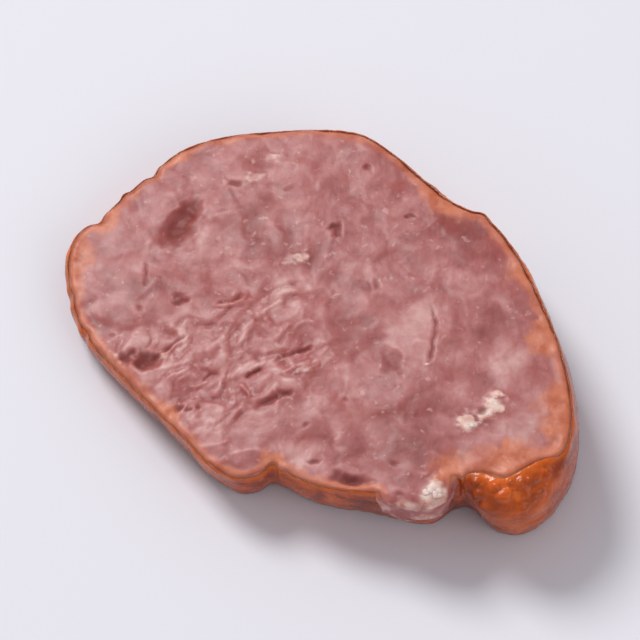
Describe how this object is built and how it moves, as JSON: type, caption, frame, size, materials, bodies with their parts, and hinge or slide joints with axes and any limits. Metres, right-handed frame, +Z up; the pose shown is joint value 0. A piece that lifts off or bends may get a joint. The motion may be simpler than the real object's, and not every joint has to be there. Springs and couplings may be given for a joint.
{
  "type": "cured sausage slice",
  "caption": "Thick, slightly wedge-shaped slice of smoked cured sausage: coarse pink meat filling inside a thin, creased, orange-brown natural casing, lying on its lower cut face.",
  "frame": {"origin": "middle of the slice's bounding rectangle, on the plane of its lower cut face", "axes": "+Z up, out of the upper cut face; +X along the longer way across the slice, towards its thicker end; +Y towards its broad rounded side, away from the creased one"},
  "size_m": [0.0386, 0.0348, 0.0087],
  "materials": {
    "cured_meat": "moist, coarsely ground cured pork: mottled mauve-pink lean with pale fat flecks, small pits and an orange smoked rim",
    "smoked_casing": "glossy, smoke-coloured natural gut, translucent orange-brown, with fine creases"
  },
  "bodies": {
    "root": {"meat_filling": "cured_meat", "casing": "smoked_casing"}
  },
  "joints": []
}
